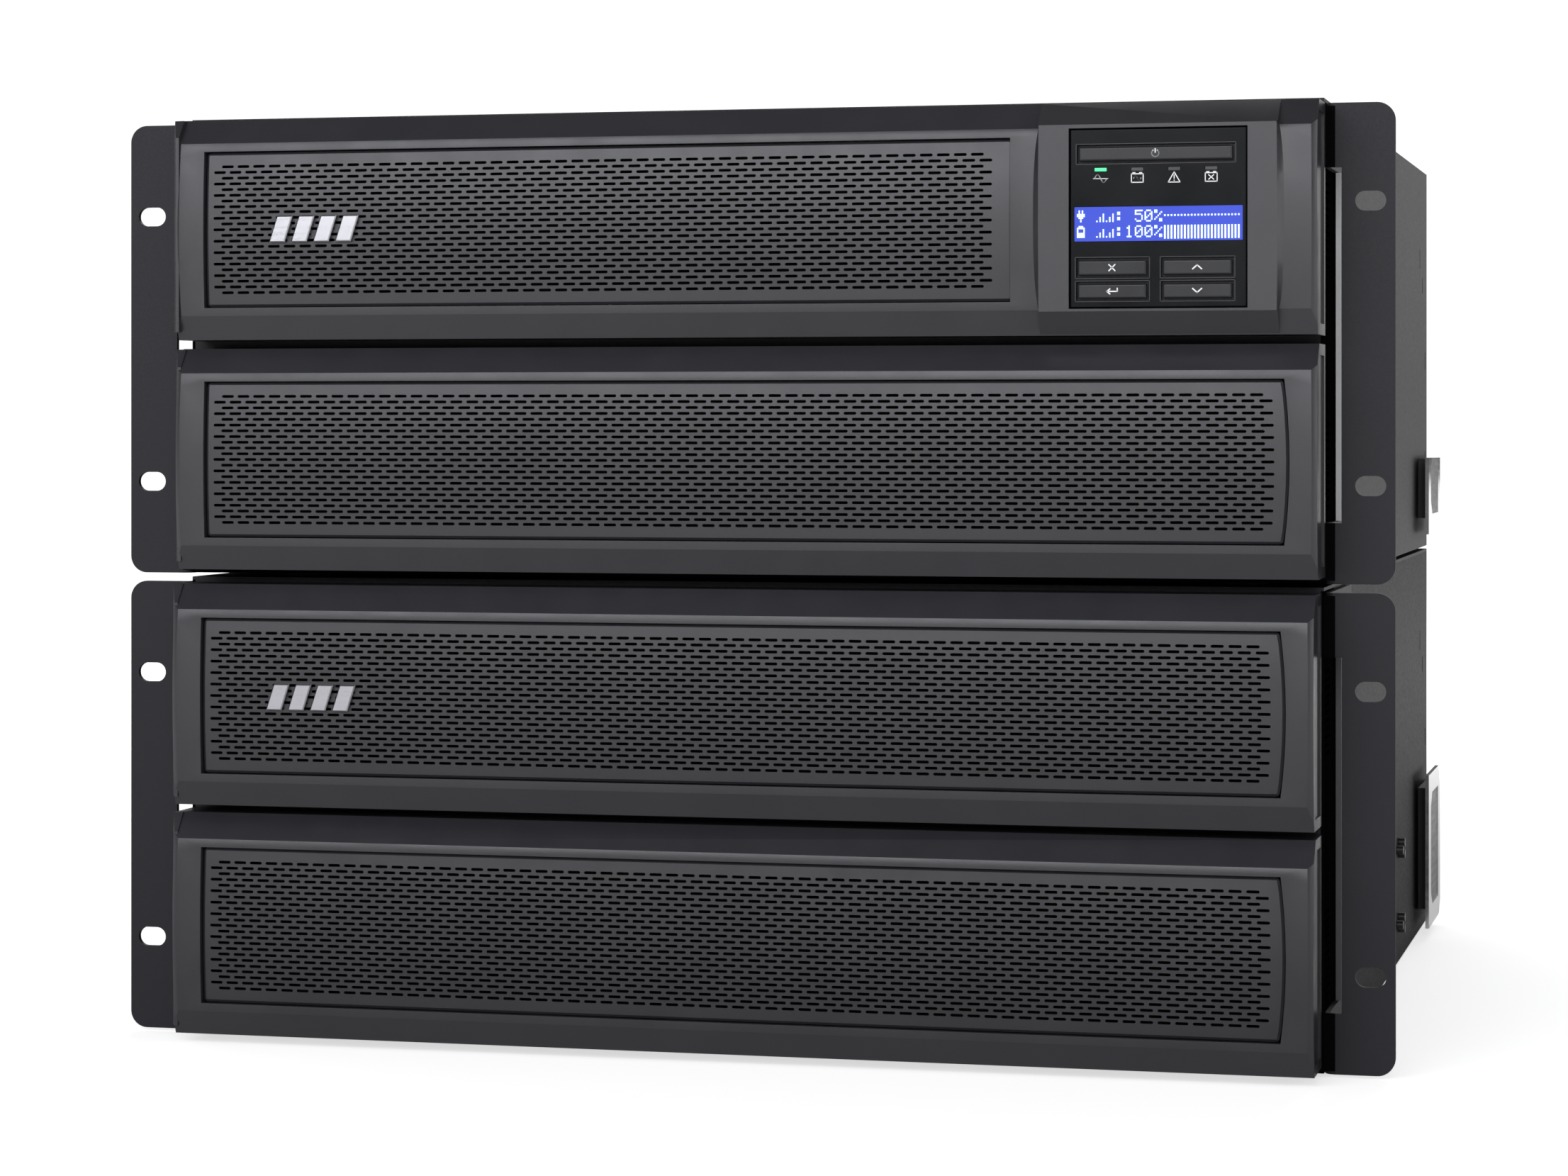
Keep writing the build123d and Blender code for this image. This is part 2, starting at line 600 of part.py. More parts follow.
def ups_rear(base):
    """Rear of the UPS: inlet, outlets, breakers, fans, card slot, battery link and data ports."""
    bank_x = (outlet_columns[0] + outlet_columns[-1]) / 2
    bank_z = sum(outlet_rows) / 2
    bank_size = (outlet_columns[-1] - outlet_columns[0] + outlet_size[0],
                 outlet_rows[1] - outlet_rows[0] + outlet_size[1])
    large_z = (large_outlets[0][1] + large_outlets[1][1]) / 2
    large_tall = large_outlets[0][1] - large_outlets[1][1] + large_size[1]
    holes = [(bank_x, bank_z, *bank_size), (large_outlets[0][0], large_z, large_size[0], large_tall)]
    holes += [(*inlet_place, *inlet_size), (*card_place, *card_size), (*link_place, *link_size)]
    holes.append((port_window_x, sum(port_window_z) / 2, 32.0, port_window_z[1] - port_window_z[0]))
    rounds = [(x, z, breaker_radius + 0.3) for x, z in breaker_places]
    rounds.append((60.0, 40.0, 2.2))      # ground stud
    vents = [(x, z, 64.0, 8) for x, z in fan_places]
    rear_panel("ups", base, holes, rounds, vents)

    with BuildPart() as outlets:
        for x in outlet_columns:
            for row in outlet_rows:
                socket(x, base + row, *outlet_size, 24, 17, 3.2, 2.7)
                blade_contacts(x, base + row, 24, 17)
        for x, row in large_outlets:
            socket(x, base + row, *large_size, 27, 20, 2.2, 3.2)
            blade_contacts(x, base + row, 27, 20)
    save(outlets.part, "ups_outlets")
    with BuildPart() as inlet:
        socket(inlet_place[0], base + inlet_place[1], *inlet_size, 28, 21)
        blade_contacts(inlet_place[0], base + inlet_place[1], 28, 21)
    save(inlet.part, "ups_mains_inlet")

    with BuildPart() as bodies:
        for x, row in breaker_places:
            rod(x, (rear_y - 24, rear_y), base + row, breaker_radius)
            rod(x, (rear_y, rear_y + 3), base + row, breaker_radius + 2.5)
            rod(x, (rear_y - 12, rear_y + 4), base + row, 3.2, Mode.SUBTRACT)
    save(bodies.part, "ups_breakers")
    for index, (x, row) in enumerate(breaker_places, start=1):
        with BuildPart() as cap:
            rod(x, (rear_y - 8, rear_y + 7.5), base + row, 3.15)
            fillet(cap.edges().filter_by(GeomType.CIRCLE).sort_by(Axis.Y)[-1:], radius=0.8)
        save(cap.part, f"ups_breaker_button_{index}")

    with BuildPart() as cover:
        slab((card_place[0] - 26, card_place[0] + 26), (rear_y, rear_y + 1.2), (base + 16, base + 108))
        for z in (22.0, 102.0):
            rod(card_place[0], (rear_y + 1.2, rear_y + 3), base + z, 3.4)
    save(cover.part, "ups_card_slot_cover")


def data_ports():
    """Small data sockets on both rear panels."""
    with BuildPart() as ports:
        for (x, z, wide, tall), border, ceiling in zip(port_places, port_borders, port_borders[1:]):
            low = base_ups + border + 0.3
            high = base_ups + ceiling - 0.3
            slab((x - 18, x + 18), (rear_y, rear_y + 1.5), (low, high))
            slab((x - 15.7, x + 15.7), (rear_y - 14, rear_y),
                 (max(low, base_ups + port_window_z[0] + 0.3), min(high, base_ups + port_window_z[1] - 0.3)))
            slab((x - wide / 2 + 1.6, x + wide / 2 - 1.6), (rear_y - 10, rear_y + 2),
                 (base_ups + z - tall / 2 + 1.6, base_ups + z + tall / 2 - 1.6), Mode.SUBTRACT)
        for x, row, wide, tall in pack_port_places:
            z = base_pack + row
            slab((x - wide / 2 + 0.2, x + wide / 2 - 0.2), (rear_y - 14, rear_y + 0.8),
                 (z - tall / 2 + 0.2, z + tall / 2 - 0.2))
            slab((x - wide / 2 + 1.6, x + wide / 2 - 1.6), (rear_y - 10, rear_y + 1),
                 (z - tall / 2 + 1.6, z + tall / 2 - 1.6), Mode.SUBTRACT)
    save(ports.part, "data_ports")


def battery_links():
    """Two-pole battery connectors with framed mouths on both rear panels."""
    places = [(link_place[0], base_ups + link_place[1])]
    places += [(x, base_pack + z) for x, z in pack_link_places]
    with BuildPart() as connectors:
        for x, z in places:
            slab((x - 36, x + 36), (rear_y, rear_y + 2.5), (z - 19, z + 19))
            slab((x - 31.7, x + 31.7), (rear_y - 26, rear_y), (z - 14.7, z + 14.7))
            for centre in (x - 15, x + 15):
                slab((centre - 13, centre + 13), (rear_y - 20, rear_y + 4), (z - 11, z + 11), Mode.SUBTRACT)
                slab((centre - 6, centre + 6), (rear_y - 20, rear_y - 3), (z - 1.5, z + 1.5))
    save(connectors.part, "battery_links")


def fans(base):
    """Two axial fans behind the rear panel: frames with a motor hub, and bladed rotors."""
    back = rear_y - sheet
    front = back - 25.0
    with BuildPart() as frames:
        for x, row in fan_places:
            z = base + row
            slab((x - 40, x + 40), (front, back), (z - 40, z + 40))
            rod(x, (front - 1, back + 1), z, 38.0, Mode.SUBTRACT)
            rod(x, (back - 6, back), z, 15.0)
            for angle in (45, 135):
                with Locations(Location((x, back - 1.5, z), (0, angle, 0))):
                    Box(78.5, 3.0, 4.0)
            rod(x, (front + 4, back - 6), z, 1.5)
    save(frames.part, "ups_fan_frames")
    for index, (x, row) in enumerate(fan_places, start=1):
        z = base + row
        with BuildPart() as rotor:
            rod(x, (front + 3, back - 6.6), z, 14.5)
            for blade in range(7):
                turn = Location((x, (front + back) / 2 - 2, z), (0, blade * 360 / 7, 0))
                with Locations(turn * Location((24.5, 0, 0), (38, 0, 0))):
                    Box(24.0, 1.6, 15.0)
            rod(x, (front + 2, back), z, 1.56, Mode.SUBTRACT)
        save(rotor.part, f"ups_fan_rotor_{index}")


def ups_inside(base):
    """Transformer, power board, heatsink and capacitors inside the UPS."""
    low = base + sheet
    with BuildPart() as core:
        for x in (-90.0, 70.0):
            slab((x - 55, x + 55), (ear_y + 250, ear_y + 340), (low + 4, low + 80))
            for side in (-1, 1):
                slab((x + side * 26 - 14, x + side * 26 + 14), (ear_y + 249, ear_y + 341),
                     (low + 20, low + 64), Mode.SUBTRACT)
            slab((x - 60, x + 60), (ear_y + 250, ear_y + 340), (low, low + 4))
    save(core.part, "ups_transformer_cores")
    with BuildPart() as coils:
        for x in (-90.0, 70.0):
            slab((x - 38, x + 38), (ear_y + 236, ear_y + 354), (low + 21, low + 63))
            slab((x - 12, x + 12), (ear_y + 250, ear_y + 340), (low + 20, low + 64), Mode.SUBTRACT)
            fillet(coils.edges().filter_by(Axis.Z).group_by(Axis.Y)[0], radius=8)
    save(coils.part, "ups_transformer_coils")
    deck = base + shelf_z + sheet
    with BuildPart() as board:
        slab((-200, 200), (ear_y + 40, ear_y + 380), (deck + 8, deck + 9.6))
        for x in (-192.0, 0.0, 192.0):
            for y in (50.0, 370.0):
                with Locations((x, ear_y + y, deck + 4)):
                    Cylinder(3.0, 8.0)
    save(board.part, "ups_power_board")
    with BuildPart() as sink:
        slab((-190, -40), (ear_y + 200, ear_y + 340), (deck + 9.6, deck + 16))
        slabs([(-188 + fin * 8, ear_y + 270, deck + 41) for fin in range(19)], (2, 140, 50))
    save(sink.part, "ups_heatsink")
    with BuildPart() as cans:
        for column in range(5):
            for row in range(2):
                with Locations((20 + column * 36, ear_y + 110 + row * 40, deck + 9.6 + 25)):
                    Cylinder(15.0, 50.0)
        fillet(cans.edges().filter_by(GeomType.CIRCLE).group_by(Axis.Z)[-1], radius=1.5)
    save(cans.part, "ups_capacitors")


def pack_rear(base):
    """Rear of the battery pack: two battery links, link ports, breaker rocker and vents."""
    holes = [(x, z, *link_size) for x, z in pack_link_places]
    holes += [*pack_port_places, (40.0, 60.0, 28.0, 44.0)]
    vents = [(110.0, 85.0, 46.0, 11), (162.0, 85.0, 46.0, 11)]
    rear_panel("pack", base, holes, [], vents)
    with BuildPart() as body:
        slab((24, 56), (rear_y, rear_y + 2), (base + 36, base + 84))
        slab((26.3, 53.7), (rear_y - 30, rear_y), (base + 38.3, base + 81.7))
        slab((31, 49), (rear_y - 14, rear_y + 3), (base + 44, base + 76), Mode.SUBTRACT)
        side_rod((30, 50), rear_y - 3, base + 60, 1.45)
    save(body.part, "pack_breaker_body")
    with BuildPart() as rocker:
        side_rod((31.6, 48.4), rear_y - 3, base + 60, 8.0)
        slab((36, 44), (rear_y, rear_y + 7.6), (base + 57, base + 63))
        side_rod((30, 50), rear_y - 3, base + 60, 1.5, Mode.SUBTRACT)
    save(rocker.part, "pack_breaker_toggle")


# ---------------------------------------------------------------- the whole stack
for prefix, base, shift in (("pack", base_pack, bezel_shift_pack), ("ups", base_ups, bezel_shift_ups)):
    chassis(prefix, base)
    top_cover(prefix, base)
    for side in ("left", "right"):
        ear(prefix, side, base)
    for level, name in enumerate(("lower", "upper")):
        console = prefix == "ups" and name == "upper"
        low = base + bezel_low + level * bezel_pitch
        bezel(f"{prefix}_bezel_{name}", shift, low, console)
        grille(f"{prefix}_grille_{name}", shift, low, console)
    badge(f"{prefix}_badge", shift, base + bezel_low + bezel_pitch + 36.4)

shelf("ups", base_ups, False)
shelf("pack", base_pack, True)
front_frame("ups", base_ups, (5.0,), bezel_shift_ups)
front_frame("pack", base_pack, (5.0, 91.0), bezel_shift_pack)
side_grips()
stacking_pads()
case_screws()
battery("ups_battery", base_ups, 5.0, 230.0)
battery("pack_battery_lower", base_pack, 5.0, 400.0)
battery("pack_battery_upper", base_pack, 91.0, 400.0)
display(base_ups + bezel_low + bezel_pitch)
ups_rear(base_ups)
fans(base_ups)
ups_inside(base_ups)
pack_rear(base_pack)
data_ports()
battery_links()
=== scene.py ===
"""Looks of the rack-mount UPS and its battery pack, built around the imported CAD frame. Units: metres."""
import json
import math

import bmesh
import bpy
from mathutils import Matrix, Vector
from mathutils.geometry import delaunay_2d_cdt


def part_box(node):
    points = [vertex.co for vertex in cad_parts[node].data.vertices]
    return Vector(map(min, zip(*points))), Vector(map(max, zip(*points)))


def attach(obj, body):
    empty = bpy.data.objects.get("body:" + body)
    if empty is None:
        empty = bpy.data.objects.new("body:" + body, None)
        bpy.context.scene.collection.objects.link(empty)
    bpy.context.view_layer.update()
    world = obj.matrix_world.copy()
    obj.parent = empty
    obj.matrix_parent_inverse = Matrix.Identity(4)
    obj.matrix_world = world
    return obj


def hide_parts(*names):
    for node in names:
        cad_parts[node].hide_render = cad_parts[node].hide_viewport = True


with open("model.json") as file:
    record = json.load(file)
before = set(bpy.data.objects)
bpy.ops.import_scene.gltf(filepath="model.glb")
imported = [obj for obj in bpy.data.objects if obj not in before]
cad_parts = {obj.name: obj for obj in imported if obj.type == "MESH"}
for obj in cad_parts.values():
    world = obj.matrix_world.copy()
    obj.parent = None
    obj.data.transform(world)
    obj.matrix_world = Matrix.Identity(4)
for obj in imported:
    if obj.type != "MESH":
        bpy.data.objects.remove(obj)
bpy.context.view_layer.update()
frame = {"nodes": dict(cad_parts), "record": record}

MM = 0.001
nodes = frame["nodes"]
scene = bpy.context.scene
ear_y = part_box("ups_ear_left")[0].y
base = {unit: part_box(f"{unit}_chassis_tray")[0].z for unit in ("pack", "ups")}


# ---------------------------------------------------------------- materials
FADE = 4 * MM                        # length over which the painted shade on a coat turns dark
# colour of painted shade
PAINTED_SHADE_BLACK = (0.002, 0.002, 0.002)
FINE_SHARE = 0.35                    # share of the fine grain in the colour variation
TRAY_SHADE_DEPTH = 33 * MM           # the front of the trays, behind the ears, is painted darker: painted shade


def finish(name, color, rough, grain=1500.0, bump=0.12, metallic=0.0, vary=0.12, rough_vary=0.06,
           stretch=(1, 1, 1), specular=0.5, coat=0.0, blotch=60.0, emission=None, strength=0.0, shaded=None):
    """Procedural surface: fine grain in the normal, slow variation in colour and roughness.

    shaded: a Y in metres; in front of it the coat is painted near black, as painted shade.
    """
    material = bpy.data.materials.new(name)
    material.use_nodes = True
    tree = material.node_tree
    shader = tree.nodes["Principled BSDF"]
    shader.inputs["Metallic"].default_value = metallic
    shader.inputs["Specular IOR Level"].default_value = specular
    shader.inputs["Coat Weight"].default_value = coat
    if emission:
        shader.inputs["Emission Color"].default_value = (*emission, 1)
        shader.inputs["Emission Strength"].default_value = strength
    place = tree.nodes.new("ShaderNodeTexCoord")
    mapping = tree.nodes.new("ShaderNodeMapping")
    mapping.inputs["Scale"].default_value = stretch
    tree.links.new(place.outputs["Object"], mapping.inputs["Vector"])
    fine = tree.nodes.new("ShaderNodeTexNoise")
    fine.inputs["Scale"].default_value = grain
    fine.inputs["Detail"].default_value = 3.0
    slow = tree.nodes.new("ShaderNodeTexNoise")
    slow.inputs["Scale"].default_value = blotch
    slow.inputs["Detail"].default_value = 4.0
    for noise in (fine, slow):
        tree.links.new(mapping.outputs["Vector"], noise.inputs["Vector"])
    relief = tree.nodes.new("ShaderNodeBump")
    relief.inputs["Strength"].default_value = bump
    relief.inputs["Distance"].default_value = 0.0002
    tree.links.new(fine.outputs["Fac"], relief.inputs["Height"])
    tree.links.new(relief.outputs["Normal"], shader.inputs["Normal"])
    tint = tree.nodes.new("ShaderNodeMix")
    tint.data_type = "RGBA"
    tint.inputs[6].default_value = (*[c * (1 - vary) for c in color], 1)
    tint.inputs[7].default_value = (*[min(1.0, c * (1 + vary)) for c in color], 1)
    blend = tree.nodes.new("ShaderNodeMath")
    blend.operation = "ADD"
    half = tree.nodes.new("ShaderNodeMath")
    half.operation = "MULTIPLY"
    half.inputs[1].default_value = FINE_SHARE
    rest = tree.nodes.new("ShaderNodeMath")
    rest.operation = "MULTIPLY"
    rest.inputs[1].default_value = 1 - FINE_SHARE
    tree.links.new(fine.outputs["Fac"], half.inputs[0])
    tree.links.new(slow.outputs["Fac"], rest.inputs[0])
    tree.links.new(half.outputs[0], blend.inputs[0])
    tree.links.new(rest.outputs[0], blend.inputs[1])
    tree.links.new(blend.outputs[0], tint.inputs[0])
    tree.links.new(tint.outputs[2], shader.inputs["Base Color"])
    # painted shade: in front of the shaded depth the colour fades to near black and the specular to zero
    if shaded is not None:
        split = tree.nodes.new("ShaderNodeSeparateXYZ")
        tree.links.new(place.outputs["Object"], split.inputs["Vector"])

        def fade_in(top):
            """0 in front of the shaded depth, top behind it."""
            fade = tree.nodes.new("ShaderNodeMapRange")
            fade.inputs["From Min"].default_value = shaded
            fade.inputs["From Max"].default_value = shaded + FADE
            fade.inputs["To Max"].default_value = top
            tree.links.new(split.outputs["Y"], fade.inputs["Value"])
            return fade.outputs["Result"]

        tree.links.new(fade_in(specular), shader.inputs["Specular IOR Level"])
        dim = tree.nodes.new("ShaderNodeMix")
        dim.data_type = "RGBA"
        dim.inputs[6].default_value = (*PAINTED_SHADE_BLACK, 1)
        tree.links.new(fade_in(1.0), dim.inputs[0])
        tree.links.new(tint.outputs[2], dim.inputs[7])
        tree.links.new(dim.outputs[2], shader.inputs["Base Color"])
    shine = tree.nodes.new("ShaderNodeMapRange")
    shine.inputs["From Min"].default_value = 0.25
    shine.inputs["From Max"].default_value = 0.75
    shine.inputs["To Min"].default_value = rough - rough_vary
    shine.inputs["To Max"].default_value = rough + rough_vary
    tree.links.new(slow.outputs["Fac"], shine.inputs["Value"])
    tree.links.new(shine.outputs["Result"], shader.inputs["Roughness"])
    return material


plastic = dict(grain=2600.0, bump=0.10, vary=0.10)
steel = dict(grain=1900.0, bump=0.14, vary=0.1, blotch=900.0)
look = {
    "chassis_black": finish("chassis_coat", (0.02, 0.02, 0.0225), 0.5, specular=0.17, **steel),
    "ear_black": finish("ear_coat", (0.0155, 0.0152, 0.0188), 0.52, specular=0.22, **steel),
    "bezel_plastic": finish("bezel_plastic", (0.022, 0.0222, 0.0255), 0.34, specular=0.5, **plastic),
    "grille_black": finish("grille_plastic", (0.022, 0.0222, 0.0255), 0.34, specular=0.5, **plastic),
    "badge_metal": finish("badge_metal", (0.42, 0.42, 0.44), 0.3, metallic=1.0, grain=900.0, bump=0.04,
                          stretch=(1, 1, 14), vary=0.05),
    "display_black": finish("fascia_plastic", (0.004, 0.0047, 0.0052), 0.25, grain=3200.0, bump=0.03,
                            specular=0.12),
    "screen_blue": finish("screen_glow", (0.01, 0.02, 0.15), 0.25, bump=0.02, emission=(0.055, 0.09, 0.62),
                          strength=0.9, specular=0.2),
    "lamp_plastic": finish("lamp_dark", (0.03, 0.035, 0.03), 0.25, bump=0.03),
    "board_green": finish("board_green", (0.02, 0.11, 0.05), 0.4, grain=700.0, bump=0.1, vary=0.3),
    "key_black": finish("key_plastic", (0.014, 0.0145, 0.016), 0.3, grain=3000.0, bump=0.05, specular=0.35),
    "grip_chrome": finish("grip_chrome", (0.86, 0.86, 0.87), 0.12, metallic=1.0, grain=600.0, bump=0.02,
                          stretch=(1, 1, 10), vary=0.04, rough_vary=0.04),
    "block_plastic": finish("block_plastic", (0.012, 0.012, 0.012), 0.55, **plastic),
    "pad_rubber": finish("pad_rubber", (0.02, 0.02, 0.02), 0.75, grain=1200.0, bump=0.3),
    "screw_steel": finish("screw_black", (0.06, 0.06, 0.063), 0.35, metallic=0.8, grain=1500.0, bump=0.08),
    "battery_case": finish("battery_case", (0.05, 0.05, 0.055), 0.5, **plastic),
    "socket_plastic": finish("socket_plastic", (0.018, 0.018, 0.019), 0.42, **plastic),
    "link_plastic": finish("link_plastic", (0.2, 0.2, 0.21), 0.45, **plastic),
    "cover_steel": finish("cover_steel", (0.045, 0.045, 0.05), 0.45, **steel),
    "button_red": finish("button_red", (0.35, 0.02, 0.015), 0.4, **plastic),
    "rotor_black": finish("rotor_black", (0.016, 0.016, 0.017), 0.45, **plastic),
    "toggle_grey": finish("toggle_grey", (0.08, 0.08, 0.085), 0.4, **plastic),
    "heatsink_metal": finish("heatsink_metal", (0.6, 0.6, 0.62), 0.35, metallic=1.0, grain=500.0, bump=0.08,
                             stretch=(1, 0.1, 1)),
    "core_iron": finish("core_iron", (0.06, 0.06, 0.065), 0.5, metallic=0.6, grain=2500.0, bump=0.3,
                        stretch=(1, 1, 0.05)),
    "coil_wrap": finish("coil_wrap", (0.4, 0.2, 0.06), 0.35, grain=900.0, bump=0.5, stretch=(0.1, 0.1, 2)),
    "cap_sleeve": finish("cap_sleeve", (0.03, 0.04, 0.15), 0.3, **plastic),
}
# Both trays get painted shade, near black, at their front behind the ears. The pack's tray is painted darker than the
# UPS's tray: painted shade, a look, not a real difference in finish.
tray_coat_painted_shade = finish("tray_coat_painted_shade", (0.02, 0.02, 0.0225), 0.5, specular=0.17, shaded=ear_y + TRAY_SHADE_DEPTH, **steel)
pack_coat_painted_shade = finish("pack_coat_painted_shade", (0.005, 0.005, 0.0055), 0.45, specular=0.03, shaded=ear_y + TRAY_SHADE_DEPTH, **steel)
white_ink = finish("white_ink", (0.8, 0.8, 0.8), 0.5, grain=2000.0, bump=0.05, vary=0.04)
lcd_white = finish("lcd_white", (0.6, 0.7, 0.75), 0.4, bump=0.02, vary=0.03, emission=(0.68, 0.95, 1.0),
                   strength=0.85)
green_light = finish("green_light", (0.05, 0.6, 0.15), 0.3, bump=0.02, emission=(0.03, 0.9, 0.22), strength=1.6)
cut_steel = finish("cut_steel", (0.85, 0.85, 0.86), 0.4, grain=1800.0, bump=0.2, vary=0.15)
# the pack's cut edge: the same bare steel darkened, as painted shade
cut_steel_painted_shade = finish("cut_steel_painted_shade", (0.12, 0.12, 0.125), 0.4, grain=1800.0, bump=0.2, vary=0.15)
grip_dull = finish("grip_dull", (0.09, 0.09, 0.095), 0.35, metallic=1.0, grain=900.0, bump=0.05,
                   stretch=(1, 1, 8))
# near-black coat for painted shade: pieces that stand in for shade in hollows and bends
painted_shade_coat = finish("painted_shade_coat", PAINTED_SHADE_BLACK, 0.9, bump=0.02, specular=0.02)
floor_paint = finish("floor_paint", (0.7, 0.7, 0.7), 0.7, grain=40.0, bump=0.01, vary=0.01, blotch=1.5,
                     specular=0.1, emission=(1, 1, 1), strength=0.8)


slot_of = {s["node"]: s["material_slot"] for s in frame["record"]["subparts"]}
trays = {"pack_chassis_tray": pack_coat_painted_shade, "ups_chassis_tray": tray_coat_painted_shade}
for name, obj in nodes.items():
    for holder in obj.material_slots:
        holder.material = trays.get(name) or look[slot_of[name]]


def soften(name, width):
    """Small rounded edges on a CAD node, so that its corners catch the light."""
    obj = nodes[name]
    weld = obj.modifiers.new("weld", "WELD")
    weld.merge_threshold = 0.00002
    bevel = obj.modifiers.new("bevel", "BEVEL")
    bevel.width = width * MM
    bevel.segments = 2
    bevel.limit_method = "ANGLE"
    bevel.angle_limit = math.radians(28)


# ---------------------------------------------------------------- mesh helpers
def piece(name, verts, faces, material, body, smooth=False):
    mesh = bpy.data.meshes.new(name)
    mesh.from_pydata([tuple(v) for v in verts], [], faces)
    mesh.materials.append(material)
    obj = bpy.data.objects.new(name, mesh)
    scene.collection.objects.link(obj)
    work = bmesh.new()
    work.from_mesh(mesh)
    bmesh.ops.recalc_face_normals(work, faces=work.faces)
    work.to_mesh(mesh)
    work.free()
    if smooth:
        mesh.polygons.foreach_set("use_smooth", [True] * len(mesh.polygons))
    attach(obj, body)
    return obj


class Flat:
    """Collects thin plates that face the front, then makes them one mesh."""

    def __init__(self):
        self.verts = []
        self.faces = []

    def plate(self, outline, y, depth):
        """outline: (x, z) corners in metres, anticlockwise seen from the front."""
        count = len(outline)
        first = len(self.verts)
        self.verts += [(x, y, z) for x, z in outline] + [(x, y + depth, z) for x, z in outline]
        self.faces.append(tuple(range(first, first + count)))
        self.faces.append(tuple(reversed(range(first + count, first + 2 * count))))
        for i in range(count):
            j = (i + 1) % count
            self.faces.append((first + i, first + count + i, first + count + j, first + j))

    def stroke(self, points, width, y, depth, closed=False):
        """A ribbon of constant width along a line of (x, z) points."""
        pairs = list(zip(points, points[1:] + (points[:1] if closed else [])))
        if not closed:
            pairs = pairs[:len(points) - 1]
        for (x0, z0), (x1, z1) in pairs:
            dx, dz = x1 - x0, z1 - z0
            length = math.hypot(dx, dz) or 1.0
            ux, uz = dx / length, dz / length
            nx, nz = -uz * width / 2, ux * width / 2
            ex, ez = ux * width * 0.35, uz * width * 0.35
            self.plate([(x0 - ex - nx, z0 - ez - nz), (x1 + ex - nx, z1 + ez - nz),
                        (x1 + ex + nx, z1 + ez + nz), (x0 - ex + nx, z0 - ez + nz)], y, depth)

    def build(self, name, material, body):
        return piece(name, self.verts, self.faces, material, body)


def arc(cx, cz, radius, start, end, steps):
    return [(cx + radius * math.cos(math.radians(start + (end - start) * i / steps)),
             cz + radius * math.sin(math.radians(start + (end - start) * i / steps))) for i in range(steps + 1)]


# ---------------------------------------------------------------- perforated grilles
ROWS = 23
ROW_PITCH = 2.149 * MM
COLUMN_PITCH = 6.224 * MM
SLOT_HALF = 2.375 * MM
SLOT_RADIUS = 0.53 * MM
CROWN = 1.3 * MM
PLATE = 0.5 * MM
END_STEPS = 4
GROW = 0.35 * MM             # the plate fills its seat a little more than the CAD insert
RIM = 0.95 * MM              # width of the rounded rim
TOP_ROW = 52.3 * MM          # highest row of slots, above the bottom of the insert
FIRST_SLOT = 5.0 * MM        # first slot centre, from the left end of the insert


def slot_loop(cx, cz):
    """Outline of one slot with round ends."""
    straight = SLOT_HALF - SLOT_RADIUS
    right = arc(cx + straight, cz, SLOT_RADIUS, -90, 90, END_STEPS)
    left = arc(cx - straight, cz, SLOT_RADIUS, 90, 270, END_STEPS)
    return right + left


def divided(points, step):
    """Closed outline with extra points, so that no side is longer than step."""
    result = []
    for (x0, z0), (x1, z1) in zip(points, points[1:] + points[:1]):
        parts = max(1, math.ceil(math.hypot(x1 - x0, z1 - z0) / step))
        result += [(x0 + (x1 - x0) * i / parts, z0 + (z1 - z0) * i / parts) for i in range(parts)]
    return result


